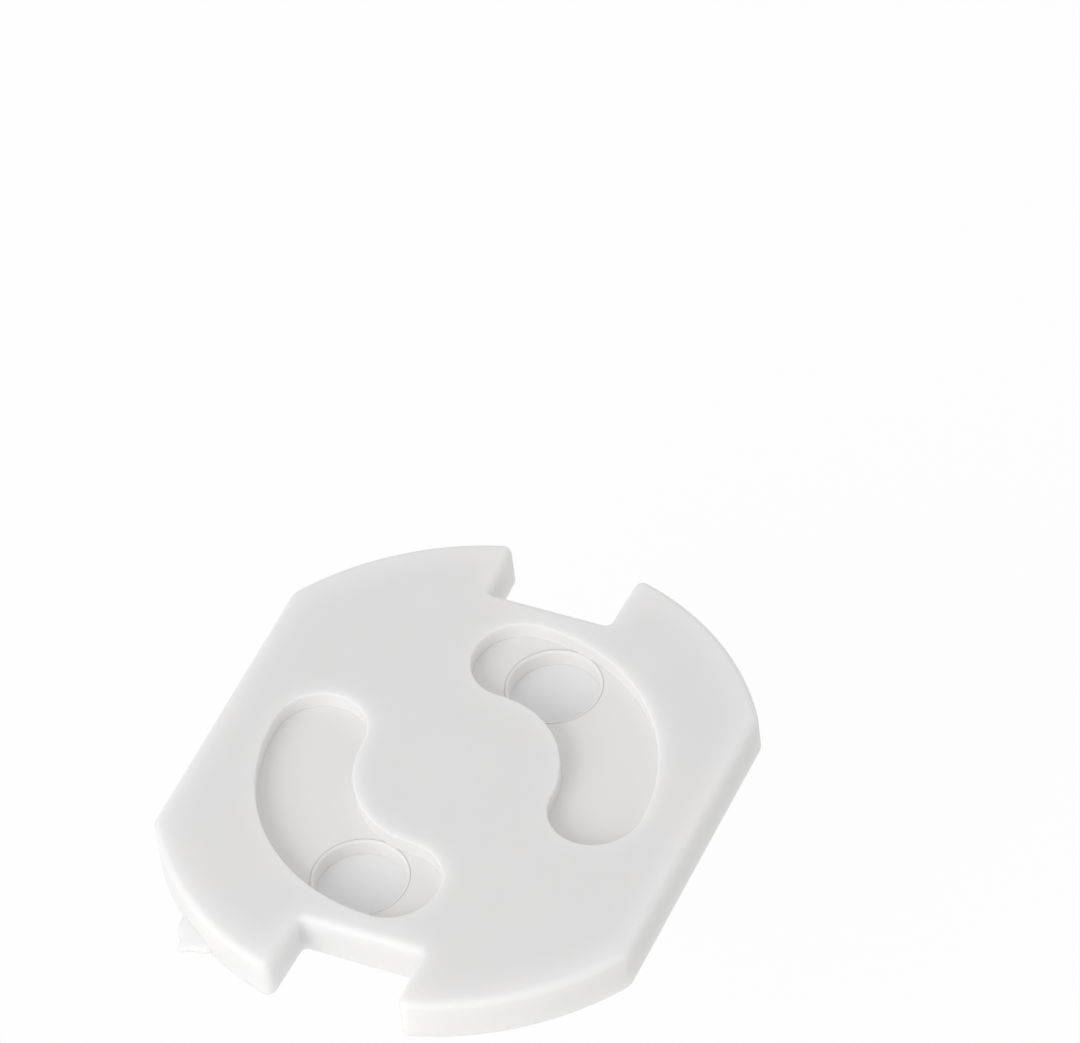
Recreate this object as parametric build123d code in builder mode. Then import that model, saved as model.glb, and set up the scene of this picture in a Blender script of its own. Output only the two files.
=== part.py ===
from build123d import *
from math import acos, atan2, degrees, radians, sqrt
import os

# Twist-type safety cover for a round earthed wall socket, in millimetres. It lies on its back:
# Z = 0 is the underside of the paper liner and the front face looks along +Z. X runs through the
# two pin holes of the back plate, Y through the two notches for the socket's earth clips.
# The cover is sized from the plug outwards: pins, shutter disc, pegs, cavity, walls. With the
# values below it is 38 mm across the rim and 32.1 mm across the flats, for a 39 mm socket well.

# The plug's pins, and how much wider each opening for them is all round
pin_diameter = 4.8
pin_pitch = 19.0
slot_pin_clearance = 0.65
disc_pin_clearance = 0.5
plate_pin_clearance = 0.55

# Twist of the shutter, in degrees
slot_sweep = 90.0
shutter_travel = 75.0
stop_slack = 0.2

# Thicknesses, from the wall side up
liner_thickness = 0.2
pad_thickness = 1.2
plate_thickness = 1.2
plate_proud = 0.6
disc_thickness = 1.0
disc_play = 0.1
face_thickness = 1.2

# Shell
arc_wall = 1.8
flat_wall = 1.25
notch_wall = 1.1
notch_floor_width = 8.3
notch_flare = 0.2
notch_root_radius = 0.4
notch_tip_radius = 0.5
flat_corner_radius = 1.1
cavity_corner_radius = 0.5
face_edge_radius = 0.45
slot_edge_chamfer = 0.15
gate_nub_angle = 236.0
gate_nub_radius = 1.4
gate_nub_height = 0.9

# Pegs of the shell that the back plate is staked on
peg_diameter = 2.4
peg_wall_gap = 1.45
peg_notch_gap = 1.35
stud_diameter = 1.9
stud_hole_clearance = 0.05
head_diameter = 2.8
head_height = 0.7
head_dimple_diameter = 1.2
head_dimple_depth = 0.45

# Shutter disc
disc_slot_lap = 0.35
disc_peg_gap = 0.45
disc_notch_gap = 0.18
disc_hole_chamfer = 0.1
lug_height = 1.5
lug_flat_gap = 0.4
lug_corner_radius = 0.3
boss_diameter = 4.0
boss_running_clearance = 0.05

# Back plate
plate_gap = 0.15
plate_tip_radius = 0.8
plate_edge_chamfer = 0.25
plate_hole_chamfer = 0.35
gate_relief_angle = 305.0
gate_relief_radius = 0.8

# Return spring: a flat strip that winds round the boss in half turns
spring_strip_thickness = 0.25
spring_strip_width = 0.5
spring_half_turns = 5
spring_half_pitch = 0.45
spring_bend_radius = 0.4
spring_boss_gap = 0.05
spring_leg_in_boss = 1.4
spring_leg_in_disc = 1.0
spring_groove_clearance = 0.06
spring_floor_clearance = 0.05
spring_pocket_gap = 0.3
spring_pocket_depth = 0.6

# Adhesive pad and its liner
pad_width = 11.5
pad_length = 17.0
liner_margin = 0.2

# Heights
pad_bottom = liner_thickness
plate_bottom = pad_bottom + pad_thickness
plate_top = plate_bottom + plate_thickness
rim_foot = plate_bottom + plate_proud
disc_bottom = plate_top + disc_play
disc_top = disc_bottom + disc_thickness
face_underside = disc_top + disc_play
face_front = face_underside + face_thickness
head_bottom = plate_bottom - head_height
spring_pocket_floor = disc_top - spring_pocket_depth
spring_bottom = spring_pocket_floor + spring_floor_clearance

# Places, from the pins out to the rim
pin_circle_radius = pin_pitch / 2
slot_width = pin_diameter + 2 * slot_pin_clearance
disc_hole_radius = pin_diameter / 2 + disc_pin_clearance
plate_hole_radius = pin_diameter / 2 + plate_pin_clearance
disc_radius = pin_circle_radius + slot_width / 2 + disc_slot_lap
lug_radius = disc_radius + lug_height
peg_radius = peg_diameter / 2
peg_circle_radius = disc_radius + disc_peg_gap + peg_radius
rim_radius = peg_circle_radius + peg_radius + peg_wall_gap + arc_wall
flat_half_width = lug_radius + lug_flat_gap + flat_wall
notch_floor_y = disc_radius + disc_notch_gap + notch_wall
peg_x = notch_floor_width / 2 + notch_wall + peg_notch_gap + peg_radius
peg_y = sqrt(peg_circle_radius**2 - peg_x**2)
boss_radius = boss_diameter / 2

# The disc stops where a lug meets a peg, at both ends of its travel. Seen from the centre, the
# peg's side at the lug's tip stands off the peg's own direction by the angle of a triangle.
peg_angle = degrees(atan2(peg_y, peg_x))
peg_side_angle = degrees(
    acos((lug_radius**2 + peg_circle_radius**2 - peg_radius**2) / (2 * lug_radius * peg_circle_radius))
)
lug_rest_angle = shutter_travel / 2
lug_half_angle = peg_angle - peg_side_angle - lug_rest_angle - stop_slack

# The spring's path, outwards from the boss
spring_start_x = boss_radius + spring_boss_gap
spring_first_radius = spring_start_x + spring_bend_radius + spring_half_pitch / 2
spring_end_x = spring_start_x + spring_bend_radius + spring_half_turns * spring_half_pitch
spring_pocket_radius = spring_end_x + spring_bend_radius + spring_pocket_gap
spring_tip_x = spring_end_x + spring_bend_radius + spring_leg_in_disc
spring_side = (-1) ** spring_half_turns
spring_groove_width = spring_strip_thickness + 2 * spring_groove_clearance


def cover_outline(arc_inset, flat_inset, notch_inset, corner_radius, tip_radius, root_radius):
    """Round outline with two flats and two clip notches, moved in from the outside of the rim."""
    radius = rim_radius - arc_inset
    floor_y = notch_floor_y - notch_inset
    floor_x = notch_floor_width / 2 + notch_inset
    notch_depth = rim_radius - notch_floor_y
    # The notch's sides run on past the rim, so the far edge opens twice as far as the mouth.
    far_x = floor_x + 2 * notch_flare
    far_y = floor_y + 2 * notch_depth
    with BuildSketch() as outline:
        Circle(radius)
        Rectangle(2 * (flat_half_width - flat_inset), 2 * radius, mode=Mode.INTERSECT)
        fillet(outline.vertices(), corner_radius)
        with BuildLine():
            Polyline((floor_x, floor_y), (far_x, far_y), (-far_x, far_y), (-floor_x, floor_y), close=True)
        make_face(mode=Mode.SUBTRACT)
        with BuildLine():
            Polyline((floor_x, -floor_y), (far_x, -far_y), (-far_x, -far_y), (-floor_x, -floor_y), close=True)
        make_face(mode=Mode.SUBTRACT)
        rows = outline.vertices().group_by(Axis.Y)
        fillet(rows[1] + rows[-2], root_radius)
        rows = outline.vertices().group_by(Axis.Y)
        fillet(rows[0] + rows[-1], tip_radius)
    return outline.sketch


rim_outline = cover_outline(0, 0, 0, flat_corner_radius, notch_tip_radius, notch_root_radius)
cavity_outline = cover_outline(
    arc_wall,
    flat_wall,
    notch_wall,
    cavity_corner_radius,
    cavity_corner_radius,
    notch_root_radius + notch_wall,
)
plate_outline = cover_outline(
    arc_wall + plate_gap,
    flat_wall + plate_gap,
    notch_wall + plate_gap,
    cavity_corner_radius,
    plate_tip_radius,
    notch_root_radius + notch_wall + plate_gap,
)
slot_path = CenterArc((0, 0), pin_circle_radius, 0, slot_sweep)

# Front cover: one moulding with face, rim, boss and pegs
with BuildPart() as front_cover:
    with BuildSketch(Plane.XY.offset(rim_foot)):
        add(rim_outline)
    extrude(amount=face_front - rim_foot)
    fillet(front_cover.edges().group_by(Axis.Z)[-1], face_edge_radius)

    # Cavity that takes the disc and the plate
    with BuildSketch(Plane.XY.offset(rim_foot)):
        add(cavity_outline)
    extrude(amount=face_underside - rim_foot, mode=Mode.SUBTRACT)

    # Curved slots: the pins enter at their ends and sweep to the back plate's holes
    with BuildSketch(Plane.XY.offset(face_underside)):
        with PolarLocations(0, 2):
            SlotArc(slot_path, slot_width)
    extrude(amount=face_thickness, mode=Mode.SUBTRACT)
    chamfer(front_cover.edges(Select.LAST).group_by(Axis.Z)[-1], slot_edge_chamfer)

    # Boss that the disc turns on, with a cut for the spring's inner leg
    with BuildSketch(Plane.XY.offset(plate_top)):
        Circle(boss_radius)
    extrude(amount=face_underside - plate_top)
    with BuildSketch(Plane.XY.offset(spring_pocket_floor)):
        with Locations((boss_radius - spring_leg_in_boss - spring_groove_clearance, 0)):
            Rectangle(boss_diameter, spring_groove_width, align=(Align.MIN, Align.CENTER))
    extrude(amount=face_underside - spring_pocket_floor, mode=Mode.SUBTRACT)

    # Pegs: a thick part down to the plate, a stud through it and a staked head behind it
    with BuildSketch(Plane.XY.offset(plate_top)):
        with GridLocations(2 * peg_x, 2 * peg_y, 2, 2):
            Circle(peg_radius)
    extrude(amount=face_underside - plate_top)
    with BuildSketch(Plane.XY.offset(plate_bottom)):
        with GridLocations(2 * peg_x, 2 * peg_y, 2, 2):
            Circle(stud_diameter / 2)
    extrude(amount=plate_thickness)
    with BuildSketch(Plane.XY.offset(head_bottom)):
        with GridLocations(2 * peg_x, 2 * peg_y, 2, 2):
            Circle(head_diameter / 2)
    extrude(amount=head_height)
    with BuildSketch(Plane.XY.offset(head_bottom)):
        with GridLocations(2 * peg_x, 2 * peg_y, 2, 2):
            Circle(head_dimple_diameter / 2)
    extrude(amount=head_dimple_depth, mode=Mode.SUBTRACT)

    # Stub of the moulding gate on the rim
    with BuildSketch(Plane.XY.offset(rim_foot)):
        with PolarLocations(rim_radius, 1, start_angle=gate_nub_angle):
            Circle(gate_nub_radius)
    extrude(amount=gate_nub_height)
front_cover.part.label = "front_cover"

# Shutter disc: its holes meet the slots when shut and the back plate's holes when open
with BuildPart() as shutter_disc:
    with BuildSketch(Plane.XY.offset(disc_bottom)) as disc_outline:
        with BuildLine():
            lug_arc = CenterArc((0, 0), lug_radius, lug_rest_angle - lug_half_angle, 2 * lug_half_angle)
            Polyline(lug_arc @ 1, (0, 0), lug_arc @ 0)
        make_face()
        with BuildLine():
            far_arc = CenterArc((0, 0), lug_radius, 180 + lug_rest_angle - lug_half_angle, 2 * lug_half_angle)
            Polyline(far_arc @ 1, (0, 0), far_arc @ 0)
        make_face()
        Circle(disc_radius)
        fillet(disc_outline.vertices(), lug_corner_radius)
        Circle(boss_radius + boss_running_clearance, mode=Mode.SUBTRACT)
    extrude(amount=disc_thickness)
    with BuildSketch(Plane.XY.offset(disc_bottom)):
        with PolarLocations(pin_circle_radius, 2, start_angle=shutter_travel):
            Circle(disc_hole_radius)
    extrude(amount=disc_thickness, mode=Mode.SUBTRACT)
    chamfer(shutter_disc.edges(Select.LAST).group_by(Axis.Z)[-1], disc_hole_chamfer)

    # Pocket for the spring, with a groove that holds its outer leg
    with BuildSketch(Plane.XY.offset(spring_pocket_floor)):
        Circle(spring_pocket_radius)
        with Locations((spring_side * (spring_tip_x + spring_groove_clearance) / 2, 0)):
            Rectangle(spring_tip_x + spring_groove_clearance, spring_groove_width)
    extrude(amount=spring_pocket_depth, mode=Mode.SUBTRACT)
shutter_disc.part.label = "shutter_disc"

# Back plate: closes the cavity and carries the adhesive pad
with BuildPart() as back_plate:
    with BuildSketch(Plane.XY.offset(plate_bottom)):
        add(plate_outline)
        with PolarLocations(rim_radius - arc_wall - plate_gap, 1, start_angle=gate_relief_angle):
            Circle(gate_relief_radius, mode=Mode.SUBTRACT)
    extrude(amount=plate_thickness)
    chamfer(back_plate.edges().group_by(Axis.Z)[0], plate_edge_chamfer)
    with BuildSketch(Plane.XY.offset(plate_bottom)):
        with GridLocations(pin_pitch, 0, 2, 1):
            Circle(plate_hole_radius)
    extrude(amount=plate_thickness, mode=Mode.SUBTRACT)
    chamfer(back_plate.edges(Select.LAST).group_by(Axis.Z)[0], plate_hole_chamfer)
    with BuildSketch(Plane.XY.offset(plate_bottom)):
        with GridLocations(2 * peg_x, 2 * peg_y, 2, 2):
            Circle(stud_diameter / 2 + stud_hole_clearance)
    extrude(amount=plate_thickness, mode=Mode.SUBTRACT)
back_plate.part.label = "back_plate"

# Return spring: inner leg in the boss, clockwise half turns, outer leg in the disc's groove
with BuildPart() as return_spring:
    with BuildSketch(Plane.XY.offset(spring_bottom)):
        with BuildLine():
            inner_leg = Line((boss_radius - spring_leg_in_boss, 0), (spring_start_x, 0))
            bend = JernArc(inner_leg @ 1, inner_leg % 1, spring_bend_radius, -90)
            for turn in range(spring_half_turns):
                turn_radius = spring_first_radius + turn * spring_half_pitch
                bend = JernArc(bend @ 1, bend % 1, turn_radius, -180)
            bend = JernArc(bend @ 1, bend % 1, spring_bend_radius, 90)
            Line(bend @ 1, (spring_side * spring_tip_x, 0))
        trace(line_width=spring_strip_thickness)
    extrude(amount=spring_strip_width)
return_spring.part.label = "return_spring"

# Adhesive pad: double-sided foam on the back plate
with BuildPart() as adhesive_pad:
    with BuildSketch(Plane.XY.offset(pad_bottom)):
        Rectangle(pad_width, pad_length)
    extrude(amount=pad_thickness)
adhesive_pad.part.label = "adhesive_pad"

# Release liner: paper that covers the pad's glue, a little larger for peeling
with BuildPart() as release_liner:
    with BuildSketch():
        Rectangle(pad_width + 2 * liner_margin, pad_length + 2 * liner_margin)
    extrude(amount=liner_thickness)
release_liner.part.label = "release_liner"

os.makedirs("parts", exist_ok=True)
export_step(front_cover.part, "parts/front_cover.step")
export_step(shutter_disc.part, "parts/shutter_disc.step")
export_step(back_plate.part, "parts/back_plate.step")
export_step(return_spring.part, "parts/return_spring.step")
export_step(adhesive_pad.part, "parts/adhesive_pad.step")
export_step(release_liner.part, "parts/release_liner.step")
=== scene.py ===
from math import acos, asin, atan, atan2, ceil, cos, exp, hypot, pi, radians, sin, sqrt

import bmesh
import bpy
from mathutils import Matrix, Quaternion, Vector, noise


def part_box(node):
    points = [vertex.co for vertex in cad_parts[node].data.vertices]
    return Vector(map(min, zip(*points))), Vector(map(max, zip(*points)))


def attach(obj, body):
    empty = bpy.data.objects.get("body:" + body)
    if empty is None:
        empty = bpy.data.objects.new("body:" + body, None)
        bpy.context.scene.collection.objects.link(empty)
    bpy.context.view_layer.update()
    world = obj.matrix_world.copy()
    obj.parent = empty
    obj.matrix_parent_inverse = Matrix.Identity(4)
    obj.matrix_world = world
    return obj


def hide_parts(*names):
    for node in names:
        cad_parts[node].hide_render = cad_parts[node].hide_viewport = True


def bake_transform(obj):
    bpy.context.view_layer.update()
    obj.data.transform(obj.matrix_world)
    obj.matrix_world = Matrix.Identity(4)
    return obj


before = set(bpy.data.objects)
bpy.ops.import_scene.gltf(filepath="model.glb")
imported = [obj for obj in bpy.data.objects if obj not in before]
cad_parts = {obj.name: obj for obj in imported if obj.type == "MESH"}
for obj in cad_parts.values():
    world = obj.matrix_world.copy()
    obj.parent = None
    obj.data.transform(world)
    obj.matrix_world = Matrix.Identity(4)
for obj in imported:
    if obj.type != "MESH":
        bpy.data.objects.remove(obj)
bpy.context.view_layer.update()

# Front cover. One moulding of white ABS: a face with two curved slots, a rim wall with two flats and
# two clip notches, the hub that the shutter turns on, and four pegs. The pegs go through the back
# plate and are staked over behind it with a hot ring punch. Sizes here and below are in millimetres.
MM = 0.001
shell_low, shell_high = (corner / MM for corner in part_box("front_cover"))
plate_low, plate_high = (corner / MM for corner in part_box("back_plate"))
rim_radius = 19.0
flat_x = shell_high.x
arc_wall = 1.8
flat_wall = 1.25
notch_wall = 1.1
notch_half_width = 4.15
notch_floor = 14.18
notch_depth = rim_radius - notch_floor
notch_flare = 0.2
face_thickness = 1.2
plate_proud = 0.6
face_z = shell_high.z
underside_z = face_z - face_thickness
foot_z = plate_low.z + plate_proud
pin_circle = 9.5
slot_width = 6.1
hub_radius = 2.0
face_edge_round = 0.45
slot_edge_round = 0.1
small_round = 0.08
foot_round = 0.02
land = 0.2
chord_error = 0.002
largest_step = radians(9)
same_place = 1e-4


def arc(x, y, radius, start, end, side=1):
    """Points of an arc, each with the direction away from the arc's centre, or towards it if side
    is -1."""
    step = min(largest_step, sqrt(8 * chord_error / radius))
    count = max(2, ceil(abs(end - start) / step))
    angles = [start + (end - start) * i / count for i in range(count + 1)]
    return [
        (Vector((x + radius * cos(a), y + radius * sin(a))), Vector((cos(a), sin(a))) * side)
        for a in angles
    ]


def twice(half):
    """An outline and its copy turned by half a turn."""
    return half + [(-p, -n) for p, n in half]


def cover_loop(radius, flat, floor_x, floor_y, corner, tip, root):
    """Round outline with two flats and two notches. Like every outline here, it runs anticlockwise and
    gives each point its outward direction."""
    slope = notch_flare / notch_depth
    lean = atan(slope)
    along, out = Vector((sin(lean), cos(lean))), Vector((-cos(lean), sin(lean)))
    corner_x = flat - corner
    corner_y = sqrt((radius - corner) ** 2 - corner_x**2)
    corner_angle = atan2(corner_y, corner_x)
    foot = Vector((floor_x, floor_y)) - out * tip
    run = sqrt(foot.dot(along) ** 2 - foot.length_squared + (radius - tip) ** 2) - foot.dot(along)
    tip_centre = foot + along * run
    tip_angle = atan2(tip_centre.y, tip_centre.x)
    root_x = floor_x + slope * root - root / cos(lean)
    quarter = (
        arc(corner_x, corner_y, corner, 0, corner_angle)
        + arc(0, 0, radius, corner_angle, tip_angle)[1:-1]
        + arc(*tip_centre, tip, tip_angle, pi - lean)
        + arc(root_x, floor_y + root, root, -lean, -pi / 2, -1)
    )
    return twice(quarter + [(Vector((-p.x, p.y)), Vector((-n.x, n.y))) for p, n in reversed(quarter)])


def slot_loop(turn):
    """A curved slot of a quarter turn, from this angle on."""
    end, radius = turn + pi / 2, slot_width / 2
    return (
        arc(0, 0, pin_circle + radius, turn, end)
        + arc(pin_circle * cos(end), pin_circle * sin(end), radius, end, end + pi)[1:-1]
        + arc(0, 0, pin_circle - radius, end, turn, -1)
        + arc(pin_circle * cos(turn), pin_circle * sin(turn), radius, turn - pi, turn)[1:-1]
    )


def circle_loop(x, y, radius):
    """A circle."""
    return arc(x, y, radius, 0, 2 * pi)[:-1]


def hollow(loop):
    """The same outline as the edge of a hole, so that its directions lead into the hole."""
    return [(p, -n) for p, n in reversed(loop)]


def section(*corners):
    """Points of a cross-section as (out, z). Corners between the first and last are
    (out, z, radius)."""
    steps = 8
    hold = 0.04
    points = [Vector(corners[0][:2])]
    for before, corner, after in zip(corners, corners[1:], corners[2:]):
        at = Vector(corner[:2])
        back, ahead = (Vector(before[:2]) - at).normalized(), (Vector(after[:2]) - at).normalized()
        reach = corner[2] * sqrt((1 + back.dot(ahead)) / (1 - back.dot(ahead)))
        middle = at + (back + ahead).normalized() * hypot(reach, corner[2])
        first, last = at + back * reach - middle, at + ahead * reach - middle
        turn = first.angle(last)
        points.append(at + back * (reach + hold))
        for share in (i / steps for i in range(steps + 1)):
            swung = first * sin((1 - share) * turn) + last * sin(share * turn)
            points.append(middle + swung / sin(turn))
        points.append(at + ahead * (reach + hold))
    return points + [Vector(corners[-1][:2])]


def skin(mesh, loop, profile):
    """Carries a cross-section round an outline that has its material on the left."""
    rings = [[mesh.verts.new((*(p + n * out), z)) for p, n in loop] for out, z in profile]
    for low, high in zip(rings, rings[1:]):
        for i in range(len(loop)):
            mesh.faces.new((low[i - 1], low[i], high[i], high[i - 1]))


def cap(mesh, z, up):
    """Closes the open edges at this height with a flat face that leaves the holes open."""
    edges = [
        e
        for e in mesh.edges
        if e.is_boundary and all(abs(v.co.z - z) < same_place for v in e.verts)
    ]
    made = bmesh.ops.triangle_fill(mesh, use_beauty=True, edges=edges)
    for face in (item for item in made["geom"] if isinstance(item, bmesh.types.BMFace)):
        face.normal_update()
        if (face.normal.z > 0) != up:
            face.normal_flip()


def link(name, data):
    """Puts a new object in the scene."""
    made = bpy.data.objects.new(name, data)
    bpy.context.scene.collection.objects.link(made)
    return made


def piece_from(mesh, name):
    """Makes an object of a mesh that is drawn in millimetres."""
    bmesh.ops.remove_doubles(mesh, verts=mesh.verts, dist=same_place)
    data = bpy.data.meshes.new(name)
    mesh.to_mesh(data)
    mesh.free()
    return link(name, data)


def settled(piece):
    """The piece's mesh with its modifiers worked in."""
    bpy.context.view_layer.update()
    return bpy.data.meshes.new_from_object(piece.evaluated_get(bpy.context.evaluated_depsgraph_get()))


def carve(piece, tool_mesh, operation):
    """Cuts a shape out of a piece, or joins one to it."""
    tool = piece_from(tool_mesh, "tool")
    step = piece.modifiers.new("carve", "BOOLEAN")
    step.object, step.operation, step.solver = tool, operation, "EXACT"
    shaped = settled(piece)
    piece.modifiers.remove(step)
    piece.data = shaped
    bpy.data.objects.remove(tool)


def block(low, high):
    """A plain block between two corners, to cut with."""
    mesh = bmesh.new()
    bmesh.ops.create_cube(mesh, size=1)
    low, high = Vector(low), Vector(high)
    bmesh.ops.scale(mesh, vec=high - low, verts=mesh.verts)
    bmesh.ops.translate(mesh, vec=(low + high) / 2, verts=mesh.verts)
    return mesh


def finish_piece(piece, name, material, node):
    """Scales a piece to metres, smooths it but for its sharp edges, and shows it in place of its
    node."""
    sharp = radians(38)
    mesh = bmesh.new()
    mesh.from_mesh(piece.data)
    many_sided = [face for face in mesh.faces if len(face.verts) > 4]
    bmesh.ops.triangulate(mesh, faces=many_sided)
    for face in mesh.faces:
        face.smooth = True
    for edge in mesh.edges:
        edge.smooth = len(edge.link_faces) == 2 and edge.calc_face_angle(0) < sharp
    mesh.to_mesh(piece.data)
    mesh.free()
    piece.data.transform(Matrix.Scale(MM, 4))
    piece.name = piece.data.name = name
    piece.data.materials.clear()
    piece.data.materials.append(material)
    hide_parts(node)


def add(tree, kind, links=None, **settings):
    """Adds a node with its settings, and links or sets its inputs."""
    made = tree.nodes.new(kind)
    for name, value in settings.items():
        setattr(made, name, value)
    for name, value in (links or {}).items():
        if isinstance(value, bpy.types.NodeSocket):
            tree.links.new(value, made.inputs[name])
        else:
            made.inputs[name].default_value = value
    return made


def linear(colour):
    """An sRGB hex colour as linear red, green, blue and alpha."""
    parts = [int(colour[i : i + 2], 16) / 255 for i in (1, 3, 5)]
    return (*(c / 12.92 if c <= 0.04045 else ((c + 0.055) / 1.055) ** 2.4 for c in parts), 1)


def blank_material(name):
    """A material with no nodes yet, and its node tree."""
    material = bpy.data.materials.new(name)
    material.use_nodes = True
    material.node_tree.nodes.clear()
    return material, material.node_tree


def moulded_abs(name, colour, cool, warm, shift, milk=None):
    """White injection-moulded ABS: satin, faintly clouded where the melt flowed, with shallow sink
    waves, the fine grain of the mould and a rare dark speck. Light spreads under its skin from the
    heights or the distances from the axis on that milk gives, each as (none, full) in millimetres."""
    cloud_size = 7.0
    wave_size = 2.6
    grain_size = 0.16
    speck_pitch = 8.0
    speck_size = 0.2
    milk_depth = 1.5
    material, tree = blank_material(name)
    place = add(tree, "ShaderNodeTexCoord").outputs["Object"]
    moved = {"Vector": place, "Location": (shift, -shift, shift / 2)}
    place = add(tree, "ShaderNodeMapping", moved).outputs[0]

    def clouds(size, detail):
        """Soft noise of this size in millimetres."""
        links = {"Vector": place, "Scale": 1 / (size * MM), "Detail": detail}
        return add(tree, "ShaderNodeTexNoise", links).outputs["Fac"]

    def blend(share, first, second):
        """One colour over another."""
        return add(tree, "ShaderNodeMix", {0: share, 6: first, 7: second}, data_type="RGBA").outputs[2]

    hue = blend(clouds(cloud_size, 3.0), linear(cool), linear(warm))
    tint = blend(clouds(2 * cloud_size, 2.0), hue, linear(colour))
    spot = add(tree, "ShaderNodeTexVoronoi", {"Vector": place, "Scale": 1 / (speck_pitch * MM)})
    edge = speck_size / speck_pitch
    fade = {"From Min": 0.4 * edge, "From Max": edge, "To Min": 0.3, "To Max": 0.0}
    speck = add(tree, "ShaderNodeMapRange", {"Value": spot.outputs["Distance"], **fade}).outputs[0]
    wave = clouds(wave_size, 1.0)
    sunk = add(tree, "ShaderNodeBump", {"Height": wave, "Distance": 0.01 * MM, "Strength": 1.0})
    skin_links = {"Height": clouds(grain_size, 2.0), "Distance": 0.0012 * MM, "Strength": 1.0}
    relief = add(tree, "ShaderNodeBump", {**skin_links, "Normal": sunk.outputs[0]})
    glow = 0.0
    if milk:
        at = add(tree, "ShaderNodeTexCoord").outputs["Object"]
        height = add(tree, "ShaderNodeSeparateXYZ", {"Vector": at}).outputs["Z"]
        flat = add(tree, "ShaderNodeVectorMath", {0: at, 1: (1, 1, 0)}, operation="MULTIPLY")
        flat = flat.outputs["Vector"]
        reach = add(tree, "ShaderNodeVectorMath", {0: flat}, operation="LENGTH").outputs["Value"]
        shares = []
        for value, (none, full) in ((height, milk[0]), (reach, milk[1])):
            span = {"Value": value, "From Min": none * MM, "From Max": full * MM}
            share = add(tree, "ShaderNodeMapRange", span, interpolation_type="SMOOTHSTEP")
            shares.append(share.outputs[0])
        glow = add(tree, "ShaderNodeMath", {0: shares[0], 1: shares[1]}, operation="MAXIMUM").outputs[0]
    gloss = add(tree, "ShaderNodeMapRange", {"Value": wave, "To Min": 0.5, "To Max": 0.62})
    shader = add(
        tree,
        "ShaderNodeBsdfPrincipled",
        {
            "Base Color": blend(speck, tint, linear("#A58E76")),
            "Roughness": gloss.outputs[0],
            "Normal": relief.outputs[0],
            "IOR": 1.53,
            "Specular IOR Level": 0.35,
            "Subsurface Weight": glow,
            "Subsurface Radius": (1.0, 1.0, 1.0),
            "Subsurface Scale": milk_depth * MM,
        },
    )
    add(tree, "ShaderNodeOutputMaterial", {"Surface": shader.outputs[0]})
    return material


def group_of(name, **kinds):
    """An empty geometry node group with these inputs. Gives the group, its inputs' outputs and their
    identifiers."""
    group = bpy.data.node_groups.new(name, "GeometryNodeTree")
    ids = {}
    for title, kind in {"geometry": "Geometry", **kinds}.items():
        socket = group.interface.new_socket(title, in_out="INPUT", socket_type="NodeSocket" + kind)
        ids[title] = socket.identifier
    group.interface.new_socket("geometry", in_out="OUTPUT", socket_type="NodeSocketGeometry")
    return group, add(group, "NodeGroupInput").outputs, ids


def grown(piece, group, ids, **values):
    """The mesh that a geometry node group makes of a piece with these inputs."""
    step = piece.modifiers.new(group.name, "NODES")
    step.node_group = group
    for title, value in values.items():
        step[ids[title]] = value
    made = settled(piece)
    bpy.data.objects.remove(piece)
    return made


# The milk shows in the face and the rim, and not deep in the slots, which would lose their dark walls.
milky = ((underside_z + 0.6, underside_z + 1.15), (13.2, 14.0))
shell_abs = moulded_abs("moulded_white_abs_shell", "#EEEDED", "#EAECEF", "#F1EDE9", 0.0, milky)
peg_radius = 1.2
peg_circle = 14.55
peg_x = 7.8
peg_y = sqrt(peg_circle**2 - peg_x**2)
stud_radius = 0.95
head_radius = 1.4
head_z = shell_low.z
dimple_radius = 0.6
dimple_floor = 0.35
dimple_depth = 0.45
dimple_z = head_z + dimple_depth
dimple_round = 0.1
mouth_round = 0.3
head_round = 0.35
shoulder_round = 0.06
stud_round = 0.04

# One peg from its staked head up: dimple, ring head, stud through the plate, thick part, root.
peg_mesh = bmesh.new()
skin(
    peg_mesh,
    circle_loop(0, 0, peg_radius),
    section(
        (dimple_floor - peg_radius - land, dimple_z),
        (dimple_floor - peg_radius, dimple_z, dimple_round),
        (dimple_radius - peg_radius, head_z, mouth_round),
        (head_radius - peg_radius, head_z, head_round),
        (head_radius - peg_radius, plate_low.z, shoulder_round),
        (stud_radius - peg_radius, plate_low.z, stud_round),
        (stud_radius - peg_radius, plate_high.z, stud_round),
        (0, plate_high.z, shoulder_round),
        (0, underside_z, small_round),
        (land, underside_z),
    ),
)
cap(peg_mesh, dimple_z, up=False)

# The four pegs stand at the corners of a rectangle.
peg_rows, given, ids = group_of("peg_rows", pitch_x="Float", pitch_y="Float", material="Material")
sizes = {"Size X": given["pitch_x"], "Size Y": given["pitch_y"], "Vertices X": 2, "Vertices Y": 2}
corners = add(peg_rows, "GeometryNodeMeshGrid", sizes).outputs["Mesh"]
spots = {"Points": corners, "Instance": given["geometry"]}
placed = add(peg_rows, "GeometryNodeInstanceOnPoints", spots).outputs[0]
real = add(peg_rows, "GeometryNodeRealizeInstances", {"Geometry": placed}).outputs[0]
coated = add(peg_rows, "GeometryNodeSetMaterial", {"Geometry": real, "Material": given["material"]})
add(peg_rows, "NodeGroupOutput", {"geometry": coated.outputs[0]})
one_peg = piece_from(peg_mesh, "peg")
four_pegs = grown(one_peg, peg_rows, ids, pitch_x=2 * peg_x, pitch_y=2 * peg_y, material=shell_abs)

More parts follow.
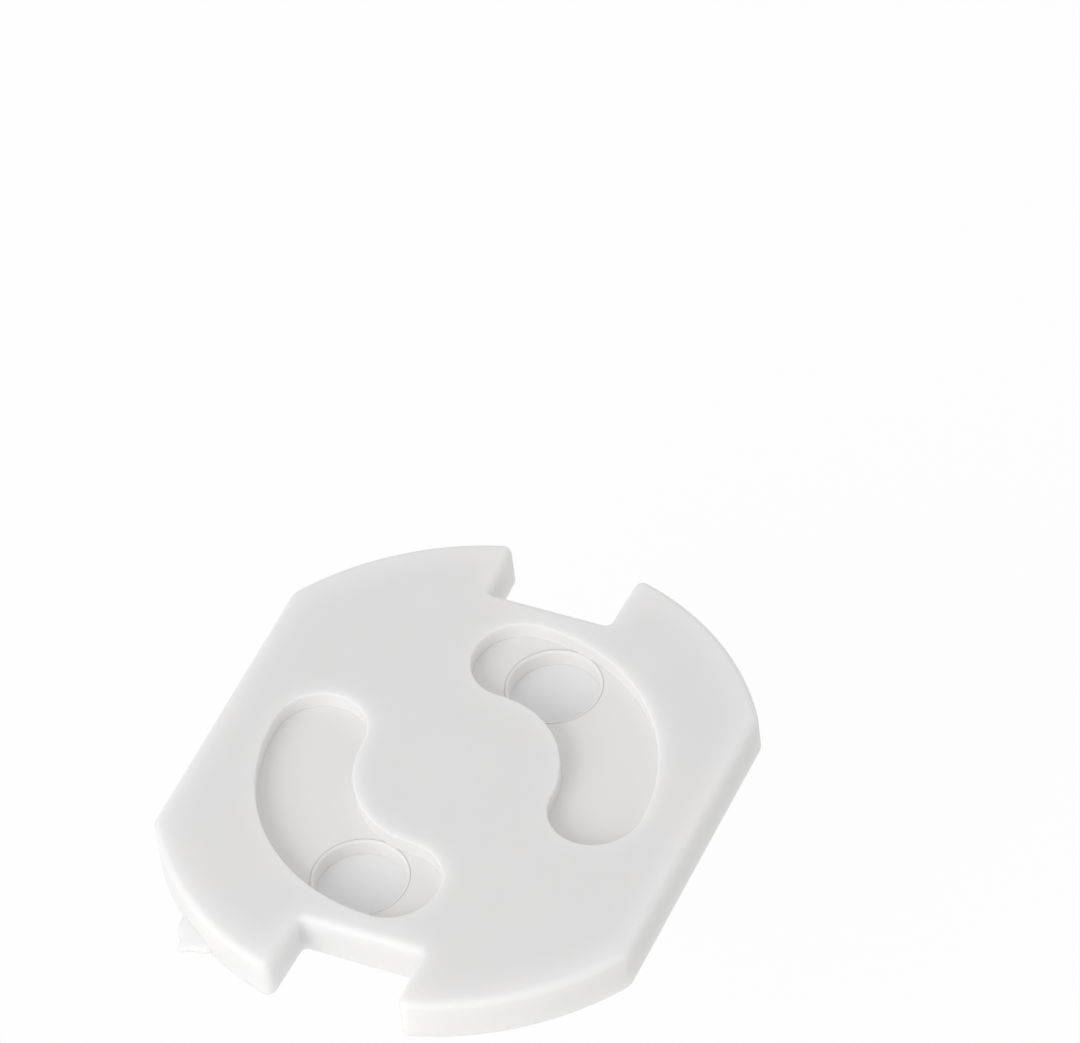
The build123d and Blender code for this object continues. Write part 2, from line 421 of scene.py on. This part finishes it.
# The rest of the moulding: rim, cavity, slots and hub, closed by four flat faces.
rim_loop = cover_loop(
    rim_radius, flat_x, notch_half_width, notch_floor, corner=1.1, tip=0.56, root=0.4
)
cavity_loop = cover_loop(
    rim_radius - arc_wall,
    flat_x - flat_wall,
    notch_half_width + notch_wall,
    notch_floor - notch_wall,
    corner=0.5,
    tip=0.5,
    root=1.5,
)
shell_mesh = bmesh.new()
shell_mesh.from_mesh(four_pegs)
past_edge = 0.06
skin(
    shell_mesh,
    rim_loop,
    section(
        (-land, foot_z),
        (0, foot_z, small_round),
        (0, face_z, face_edge_round),
        (-face_edge_round - past_edge, face_z),
    ),
)
skin(
    shell_mesh,
    hollow(cavity_loop),
    section(
        (-land, foot_z),
        (0, foot_z, small_round),
        (0, underside_z, small_round),
        (land, underside_z),
    ),
)
for turn in (0, pi):
    skin(
        shell_mesh,
        hollow(slot_loop(turn)),
        section(
            (-land, underside_z),
            (0, underside_z, foot_round),
            (0, face_z, slot_edge_round),
            (-slot_edge_round - past_edge, face_z),
        ),
    )
skin(
    shell_mesh,
    circle_loop(0, 0, hub_radius),
    section(
        (-land, plate_high.z),
        (0, plate_high.z, small_round),
        (0, underside_z, small_round),
        (land, underside_z),
    ),
)
bmesh.ops.remove_doubles(shell_mesh, verts=shell_mesh.verts, dist=same_place)
for level, faces_up in ((foot_z, False), (underside_z, False), (plate_high.z, False), (face_z, True)):
    cap(shell_mesh, level, faces_up)
shell = piece_from(shell_mesh, "shell")

# Stub that the moulding gate left on the rim: a flat swelling with a torn tip that points outwards.
# noise_vector has no seed here, so the tear comes out a little different in each run.
gate_angle = radians(236)
gate_out = 0.95
gate_half_width = 1.75
gate_height = 0.9
tip_out = 0.85
tip_along = 0.35
tip_half_width = 0.55
torn_pitch = 1.1
torn_depth = 0.25
out_rim = Vector((cos(gate_angle), sin(gate_angle), 0))
along_rim = Vector((-sin(gate_angle), cos(gate_angle), 0))
gate_mesh = bmesh.new()
bmesh.ops.create_icosphere(gate_mesh, subdivisions=5, radius=1)
for vertex in gate_mesh.verts:
    out, along = vertex.co.dot(out_rim), vertex.co.dot(along_rim) * gate_half_width
    tip = max(0, out) * exp(-(((along - tip_along) / tip_half_width) ** 2)) * tip_out
    height = foot_z + gate_height / 2 * (1 + vertex.co.z)
    vertex.co = out_rim * (rim_radius + out * gate_out + tip) + along_rim * along
    vertex.co.z = height
    torn = noise.noise_vector(vertex.co / torn_pitch) * torn_depth
    vertex.co += Vector((torn.x, torn.y, 0))
carve(shell, gate_mesh, "UNION")

# Cut in the hub for the spring's inner leg.
pocket_z = 3.1
groove_half_width = 0.185
inner_leg = 1.4
leg_play = 0.06
inner_leg_x = hub_radius - inner_leg - leg_play
past_hub = 0.3
over = 0.02
groove = block(
    (inner_leg_x, -groove_half_width, pocket_z),
    (hub_radius + past_hub, groove_half_width, underside_z + over),
)
carve(shell, groove, "DIFFERENCE")
finish_piece(shell, "front_cover_moulding", shell_abs, "front_cover")
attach(shell, "cover")

# Shutter disc. White ABS, moulded by itself and dropped over the hub, where it turns under the face.
# It is the floor that shows in both slots, with a pin hole near one end of each. Two lugs on its
# edge stop against the pegs, and a pocket round the hub holds the return spring.
# Its white is a shade lighter than the shell's, though it is the same ABS. This is painted light, for
# the light that comes through the shell's thin walls onto the floors of the slots.
disc_abs = moulded_abs("moulded_white_abs_disc", "#EFEEED", "#ECEDEE", "#F2EEEA", 3.1)
disc_low, disc_high = (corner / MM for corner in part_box("shutter_disc"))
disc_radius = 12.9
lug_radius = 14.4
lug_round = 0.3
shut_angle = radians(75)
disc_hole = 2.9
hub_play = 0.05
hub_hole = hub_radius + hub_play
disc_hole_round = 0.18
spring_pocket = 5.4
outer_leg_x = 6.1
lug_middle = shut_angle / 2
peg_angle = atan2(peg_y, peg_x)
peg_side = acos((lug_radius**2 + peg_circle**2 - peg_radius**2) / (2 * lug_radius * peg_circle))
lug_play = radians(0.2)
lug_half_angle = peg_angle - peg_side - lug_middle - lug_play
# The disc's play is taken up but for a hair, so that no dark line shows at the foot of the walls.
disc_rise = 0.094
disc_top = disc_high.z + disc_rise
disc_bottom = disc_low.z - disc_rise


def disc_loop():
    """Round disc with two opposite lugs that have rounded corners and roots."""
    first, last = lug_middle - lug_half_angle, lug_middle + lug_half_angle
    tip_reach, root_reach = lug_radius - lug_round, disc_radius + lug_round
    tip_turn, root_turn = asin(lug_round / tip_reach), asin(lug_round / root_reach)

    def corner(reach, angle, start, end, side):
        """Round corner of a lug, about a centre at this reach and angle."""
        return arc(reach * cos(angle), reach * sin(angle), lug_round, start, end, side)

    before, after = first - root_turn, last + root_turn
    return twice(
        corner(root_reach, before, before + pi, first + pi / 2, -1)
        + corner(tip_reach, first + tip_turn, first - pi / 2, first + tip_turn, 1)
        + arc(0, 0, lug_radius, first + tip_turn, last - tip_turn)[1:-1]
        + corner(tip_reach, last - tip_turn, last - tip_turn, last + pi / 2, 1)
        + corner(root_reach, after, last - pi / 2, after - pi, -1)
        + arc(0, 0, disc_radius, after, before + pi)[1:-1]
    )


disc_mesh = bmesh.new()
skin(
    disc_mesh,
    disc_loop(),
    section(
        (-land, disc_bottom),
        (0, disc_bottom, small_round),
        (0, disc_top, small_round),
        (-land, disc_top),
    ),
)
for angle in (shut_angle, shut_angle + pi):
    skin(
        disc_mesh,
        hollow(circle_loop(pin_circle * cos(angle), pin_circle * sin(angle), disc_hole)),
        section(
            (-land, disc_bottom),
            (0, disc_bottom, foot_round),
            (0, disc_top, disc_hole_round),
            (-land, disc_top),
        ),
    )
skin(
    disc_mesh,
    hollow(circle_loop(0, 0, hub_hole)),
    section(
        (-land, disc_bottom),
        (0, disc_bottom, small_round),
        (0, pocket_z, small_round),
        (-land, pocket_z),
    ),
)
skin(
    disc_mesh,
    hollow(circle_loop(0, 0, spring_pocket)),
    section(
        (land, pocket_z),
        (0, pocket_z, small_round),
        (0, disc_top, small_round),
        (-land, disc_top),
    ),
)
for level, faces_up in ((disc_bottom, False), (pocket_z, True), (disc_top, True)):
    cap(disc_mesh, level, faces_up)
disc = piece_from(disc_mesh, "disc")
past_pocket = 0.5
past_face = 1
groove = block(
    (-outer_leg_x - leg_play, -groove_half_width, pocket_z + over),
    (-spring_pocket + past_pocket, groove_half_width, disc_top + past_face),
)
carve(disc, groove, "DIFFERENCE")
finish_piece(disc, "shutter_disc_moulding", disc_abs, "shutter_disc")
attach(disc, "shutter")

# Back plate. White ABS, pressed over the pegs' studs. It closes the cavity, has the two pin holes
# that line up with the socket's contacts, and carries the adhesive pad.
# Its white is lighter than the shell's and the disc's, though it is the same ABS. This is painted
# light, for the light that comes through the thin walls above onto the floors of the pin holes.
plate_abs = moulded_abs("moulded_white_abs_plate", "#F2F2F2", "#EFF1F4", "#F4F1EF", 5.7)
plate_gap = 0.15
plate_hole = 2.95
plate_hole_round = 0.35
plate_edge_round = 0.25
plate_top_round = 0.05
hole_top_round = 0.03
hole_land = 0.1
stud_play = 0.05
stud_hole = stud_radius + stud_play
stud_hole_round = 0.03
plate_inset = arc_wall + plate_gap
plate_loop = cover_loop(
    rim_radius - plate_inset,
    flat_x - flat_wall - plate_gap,
    notch_half_width + notch_wall + plate_gap,
    notch_floor - notch_wall - plate_gap,
    corner=0.5,
    tip=0.8,
    root=1.65,
)
plate_mesh = bmesh.new()
skin(
    plate_mesh,
    plate_loop,
    section(
        (-plate_edge_round - past_edge, plate_low.z),
        (0, plate_low.z, plate_edge_round),
        (0, plate_high.z, plate_top_round),
        (-land, plate_high.z),
    ),
)
holes = [(side * pin_circle, 0, plate_hole, plate_hole_round) for side in (1, -1)]
holes += [(x, y, stud_hole, stud_hole_round) for x in (peg_x, -peg_x) for y in (peg_y, -peg_y)]
for x, y, radius, rounding in holes:
    skin(
        plate_mesh,
        hollow(circle_loop(x, y, radius)),
        section(
            (-rounding - past_edge, plate_low.z),
            (0, plate_low.z, rounding),
            (0, plate_high.z, hole_top_round),
            (-hole_land, plate_high.z),
        ),
    )
cap(plate_mesh, plate_low.z, False)
cap(plate_mesh, plate_high.z, True)
plate = piece_from(plate_mesh, "plate")
bite_angle = radians(305)
bite_radius = 0.8
bite_reach = rim_radius - plate_inset
bite_mesh = bmesh.new()
skin(
    bite_mesh,
    circle_loop(bite_reach * cos(bite_angle), bite_reach * sin(bite_angle), bite_radius),
    [(0, plate_low.z - past_face), (0, plate_high.z + past_face)],
)
cap(bite_mesh, plate_low.z - past_face, False)
cap(bite_mesh, plate_high.z + past_face, True)
carve(plate, bite_mesh, "DIFFERENCE")
finish_piece(plate, "back_plate_moulding", plate_abs, "back_plate")
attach(plate, "cover")

# Return spring. A flat strip of spring steel, wound round the hub in half turns. Its inner leg sits in
# the hub's cut and its outer leg in the disc's groove. In the real cover it bends as the disc turns,
# but here it is drawn at rest and nothing makes it bend.
strip_thickness = 0.25
strip_width = 0.5
half_turns = 5
half_pitch = 0.45
leg_bend = 0.4
strip_play = 0.05
spring_z = pocket_z + strip_play + strip_width / 2
spring_start = hub_radius + strip_play
bend_steps = 24

path = [Vector((hub_radius - inner_leg, 0)), Vector((spring_start, 0))]
heading = 0.0
bends = [(leg_bend, -pi / 2)]
bends += [(spring_start + leg_bend + half_pitch * (i + 0.5), -pi) for i in range(half_turns)]
bends += [(leg_bend, pi / 2)]
for radius, turn in bends:
    side = 1 if turn > 0 else -1
    centre = path[-1] + Vector((-sin(heading), cos(heading))) * radius * side
    for i in range(1, bend_steps + 1):
        angle = heading + turn * i / bend_steps
        path.append(centre + Vector((sin(angle), -cos(angle))) * radius * side)
    heading += turn
leg_steps = 10
leg_start, leg_end = path[-1], Vector((-outer_leg_x, 0))
path += [leg_start.lerp(leg_end, i / leg_steps) for i in range(1, leg_steps + 1)]

steel = "cold_rolled_spring_steel"
spring_steel, tree = blank_material(steel)
place = add(tree, "ShaderNodeTexCoord").outputs["Object"]
# Rolling leaves fine lines along the strip's faces, drawn coarser here than the real 0.02 mm.
rolled = add(tree, "ShaderNodeTexNoise", {"Vector": place, "Scale": 1 / (0.08 * MM), "Detail": 3.0})
bloom = add(tree, "ShaderNodeTexNoise", {"Vector": place, "Scale": 1 / (1.5 * MM), "Detail": 2.0})
shade = add(
    tree,
    "ShaderNodeMix",
    {0: bloom.outputs["Fac"], 6: linear("#BDBBB8"), 7: linear("#D2D0CC")},
    data_type="RGBA",
)
dull = add(tree, "ShaderNodeMapRange", {"Value": rolled.outputs["Fac"], "To Min": 0.28, "To Max": 0.45})
lines = add(tree, "ShaderNodeBump", {"Height": rolled.outputs["Fac"], "Distance": 0.001 * MM})
shader = add(
    tree,
    "ShaderNodeBsdfPrincipled",
    {
        "Base Color": shade.outputs[2],
        "Metallic": 1.0,
        "Roughness": dull.outputs[0],
        "Normal": lines.outputs[0],
    },
)
add(tree, "ShaderNodeOutputMaterial", {"Surface": shader.outputs[0]})

strip, given, ids = group_of("strip", thickness="Float", width="Float", material="Material")
line = add(strip, "GeometryNodeMeshToCurve", {"Mesh": given["geometry"]}).outputs[0]
upright = add(strip, "GeometryNodeSetCurveNormal", {"Curve": line}, mode="Z_UP").outputs[0]
cross = {"Width": given["thickness"], "Height": given["width"]}
outline = add(strip, "GeometryNodeCurvePrimitiveQuadrilateral", cross, mode="RECTANGLE").outputs[0]
sides = {"Curve": upright, "Profile Curve": outline, "Fill Caps": True}
wound = add(strip, "GeometryNodeCurveToMesh", sides).outputs[0]
real = add(strip, "GeometryNodeRealizeInstances", {"Geometry": wound}).outputs[0]
coated = add(strip, "GeometryNodeSetMaterial", {"Geometry": real, "Material": given["material"]})
add(strip, "NodeGroupOutput", {"geometry": coated.outputs[0]})
path_mesh = bmesh.new()
knots = [path_mesh.verts.new((*point, spring_z)) for point in path]
for pair in zip(knots, knots[1:]):
    path_mesh.edges.new(pair)
wire = piece_from(path_mesh, "wire")
wound_strip = grown(
    wire, strip, ids, thickness=strip_thickness, width=strip_width, material=spring_steel
)
spring = link("spring", wound_strip)
finish_piece(spring, "return_spring_strip", spring_steel, "return_spring")
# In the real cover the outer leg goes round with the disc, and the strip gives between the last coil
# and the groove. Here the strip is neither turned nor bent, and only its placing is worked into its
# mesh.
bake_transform(spring)

# Adhesive pad. Closed-cell foam tape, cut by hand, so that its sides are torn and lean a little. Its
# upper side is glued to the back plate.
foam_low, foam_high = (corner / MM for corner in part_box("adhesive_pad"))
foam, tree = blank_material("closed_cell_foam_tape")
place = add(tree, "ShaderNodeTexCoord").outputs["Object"]
cell_size = 0.22
spaced = {"Vector": place, "Scale": 1 / (cell_size * MM)}
cells = add(tree, "ShaderNodeTexVoronoi", spaced).outputs["Distance"]
patches = add(tree, "ShaderNodeTexNoise", {"Vector": place, "Scale": 1 / (2.5 * MM), "Detail": 3.0})
cream = add(
    tree,
    "ShaderNodeMix",
    {0: patches.outputs["Fac"], 6: linear("#EFE8DB"), 7: linear("#F4F0E9")},
    data_type="RGBA",
)
pits = add(tree, "ShaderNodeBump", {"Height": cells, "Distance": 0.05 * MM, "Strength": 0.8})
shader = add(
    tree,
    "ShaderNodeBsdfPrincipled",
    {
        "Base Color": cream.outputs[2],
        "Roughness": 0.9,
        "Normal": pits.outputs[0],
        "Subsurface Weight": 0.6,
        "Subsurface Radius": (1.0, 0.9, 0.75),
        "Subsurface Scale": 0.4 * MM,
    },
)
add(tree, "ShaderNodeOutputMaterial", {"Surface": shader.outputs[0]})


def strip_loop(half_x, half_y, corner, pitch, sway, seed):
    """A hand-cut rectangle inside these half sizes, with points about every pitch and edges that
    sway."""
    points = []
    corners = [(1, 1, 0), (-1, 1, pi / 2), (-1, -1, pi), (1, -1, 3 * pi / 2)]
    for x, y, start in corners:
        points += arc(x * (half_x - corner), y * (half_y - corner), corner, start, start + pi / 2)
    loop = []
    for (p, n), (q, m) in zip(points, points[1:] + points[:1]):
        count = max(1, round((q - p).length / pitch))
        loop += [(p.lerp(q, i / count), n.lerp(m, i / count).normalized()) for i in range(count)]
    slow, quick = 2.5, 0.45
    slow_share, quick_share = 0.5, 0.2
    cut = []
    for p, n in loop:
        wander = slow_share + slow_share * noise.noise((*p / slow, seed))
        wander += quick_share * noise.noise((*p / quick, seed))
        cut.append((p - n * sway * max(0, wander), n))
    return cut


foam_mesh = bmesh.new()
foam_x, foam_y = foam_high.x, foam_high.y
layers = 10
tear = 0.16
tear_base, tear_swing = 0.6, 0.4
coarse, fine, fine_share = 0.9, 0.3, 0.6
another_place = Vector((7, 3, 1))
foam_land, foam_edge = 0.2, 0.05
heights = [foam_low.z + (foam_high.z - foam_low.z) * i / layers for i in range(layers + 1)]
profile = [(-foam_land, foam_low.z), (-foam_edge, foam_low.z)]
profile += [(0, z) for z in heights[1:-1]]
profile += [(-foam_edge, foam_high.z), (-foam_land, foam_high.z)]
foam_loop = strip_loop(foam_x, foam_y, corner=0.35, pitch=0.12, sway=0.2, seed=1.7)
skin(foam_mesh, foam_loop, profile)
for vertex in foam_mesh.verts:
    rough = noise.noise(vertex.co / coarse + another_place)
    rough += fine_share * noise.noise(vertex.co / fine)
    if foam_low.z < vertex.co.z < foam_high.z:
        vertex.co.xy *= 1 - tear * (tear_base + tear_swing * rough) / vertex.co.xy.length
cap(foam_mesh, foam_low.z, False)
cap(foam_mesh, foam_high.z, True)
pad = piece_from(foam_mesh, "pad")
finish_piece(pad, "foam_tape_pad", foam, "adhesive_pad")
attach(pad, "cover")

# Release liner. Silicone-coated paper that keeps the glue clean until the cover is stuck in a socket.
# It was cut with the tape and is a little larger, to be peeled off with a nail.
liner_low, liner_high = (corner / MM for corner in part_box("release_liner"))
liner_paper, tree = blank_material("silicone_coated_paper")
place = add(tree, "ShaderNodeTexCoord").outputs["Object"]
fibres = add(tree, "ShaderNodeTexNoise", {"Vector": place, "Scale": 1 / (0.35 * MM), "Detail": 4.0})
creases = add(tree, "ShaderNodeTexNoise", {"Vector": place, "Scale": 1 / (5.0 * MM), "Detail": 2.0})
# The paper's tone follows the same noise that raises its folds. It is a little darker in their hollows
# and lighter on their ridges: painted shade in the folds.
shade = add(
    tree,
    "ShaderNodeMix",
    {0: creases.outputs["Fac"], 6: linear("#EDE4DE"), 7: linear("#EFEAE2")},
    data_type="RGBA",
)
folds = add(
    tree,
    "ShaderNodeBump",
    {"Height": creases.outputs["Fac"], "Distance": 0.15 * MM, "Strength": 0.7},
)
tooth = add(
    tree,
    "ShaderNodeBump",
    {"Height": fibres.outputs["Fac"], "Distance": 0.008 * MM, "Normal": folds.outputs[0]},
)
shader = add(
    tree,
    "ShaderNodeBsdfPrincipled",
    {"Base Color": shade.outputs[2], "Roughness": 0.62, "Normal": tooth.outputs[0]},
)
add(tree, "ShaderNodeOutputMaterial", {"Surface": shader.outputs[0]})
liner_land = 0.15
liner_round = 0.03
liner_mesh = bmesh.new()
skin(
    liner_mesh,
    strip_loop(liner_high.x, liner_high.y, corner=0.3, pitch=0.15, sway=0.2, seed=8.3),
    section(
        (-liner_land, liner_low.z),
        (0, liner_low.z, liner_round),
        (0, liner_high.z, liner_round),
        (-liner_land, liner_high.z),
    ),
)
cap(liner_mesh, liner_low.z, False)
cap(liner_mesh, liner_high.z, True)
liner = piece_from(liner_mesh, "liner")
finish_piece(liner, "release_liner_paper", liner_paper, "release_liner")
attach(liner, "cover")

# Table. A plain white sheet, which the camera and reflections see as white but for the soft shadow.
table_half_width = 2000
table_glow = 0.95
table_mesh = bmesh.new()
bmesh.ops.create_grid(table_mesh, x_segments=1, y_segments=1, size=table_half_width * MM)
# It lies 20 mm under the liner, so the cover stands clear of it. A hair, 0.02, was meant.
table_drop = 20
bmesh.ops.translate(table_mesh, vec=(0, 0, -table_drop * MM), verts=table_mesh.verts)
table = piece_from(table_mesh, "table")
sheet, tree = blank_material("matt_white_sheet")
matt = add(tree, "ShaderNodeBsdfDiffuse", {"Color": linear("#F8F8F7")}).outputs[0]
glow = add(tree, "ShaderNodeEmission", {"Color": linear("#FFFFFF"), "Strength": 1.0}).outputs[0]
ray = add(tree, "ShaderNodeLightPath").outputs
pair = {0: ray["Is Camera Ray"], 1: ray["Is Glossy Ray"]}
direct = add(tree, "ShaderNodeMath", pair, operation="MAXIMUM").outputs[0]
pair = {0: direct, 1: ray["Is Transmission Ray"]}
direct = add(tree, "ShaderNodeMath", pair, operation="MAXIMUM").outputs[0]
share = add(tree, "ShaderNodeMath", {0: direct, 1: table_glow}, operation="MULTIPLY").outputs[0]
mixed = add(tree, "ShaderNodeMixShader", {0: share, 1: matt, 2: glow})
add(tree, "ShaderNodeOutputMaterial", {"Surface": mixed.outputs[0]})
table.data.materials.append(sheet)

# Light. A white room, brighter at its sides than overhead, and one wide lamp at the front left, as a
# window would be.
room_overhead, room_side = 0.6, 0.85
room = bpy.data.worlds.new("white_room")
bpy.context.scene.world = room
room.use_nodes = True
tree = room.node_tree
tree.nodes.clear()
ray = add(tree, "ShaderNodeLightPath").outputs
toward = add(tree, "ShaderNodeTexCoord").outputs["Generated"]
rise = add(tree, "ShaderNodeSeparateXYZ", {"Vector": toward}).outputs["Z"]
levels = {"From Min": 0.0, "From Max": 1.0, "To Min": room_side, "To Max": room_overhead}
room_level = add(tree, "ShaderNodeMapRange", {"Value": rise, **levels}).outputs[0]
shown = {"Value": ray["Is Camera Ray"], "To Min": room_level, "To Max": 1.0}
strength = add(tree, "ShaderNodeMapRange", shown)
sky = add(tree, "ShaderNodeBackground", {"Color": linear("#FFFFFF"), "Strength": strength.outputs[0]})
add(tree, "ShaderNodeOutputWorld", {"Surface": sky.outputs[0]})
lamp_azimuth, lamp_height = radians(252), radians(31.5)
lamp_distance = 0.6
lamp_size = 0.4
# At level 1 a surface that faces the lamp shows its own colour.
lamp_level = 0.395
light = bpy.data.lights.new("window", "AREA")
light.shape = "DISK"
light.size = lamp_size
light.energy = lamp_level * pi**2 * lamp_distance**2
window = link("window", light)
lamp_side = Vector((cos(lamp_azimuth), sin(lamp_azimuth), 0)) * cos(lamp_height)
lamp_side.z = sin(lamp_height)
window.location = lamp_side * lamp_distance
window.rotation_mode = "QUATERNION"
window.rotation_quaternion = lamp_side.to_track_quat("Z", "Y")

# Camera, where the photograph was taken from: the cover lies at the lower left of the picture.
focal_length = 266.667
aim = Vector((-3.569, 20.796, 5.0)) * MM
camera_distance = 508.62 * MM
azimuth, elevation, roll = radians(-60.174), radians(46.632), radians(-7.888)
camera_side = Vector((cos(azimuth), sin(azimuth), 0)) * cos(elevation)
camera_side.z = sin(elevation)
lens = bpy.data.cameras.new("camera")
lens.lens = focal_length
lens.clip_start = 0.01
camera = link("camera", lens)
camera.location = aim + camera_side * camera_distance
camera.rotation_mode = "QUATERNION"
camera.rotation_quaternion = camera_side.to_track_quat("Z", "Y") @ Quaternion((0, 0, 1), roll)
bpy.context.scene.camera = camera
bpy.context.scene.view_settings.view_transform = "Standard"
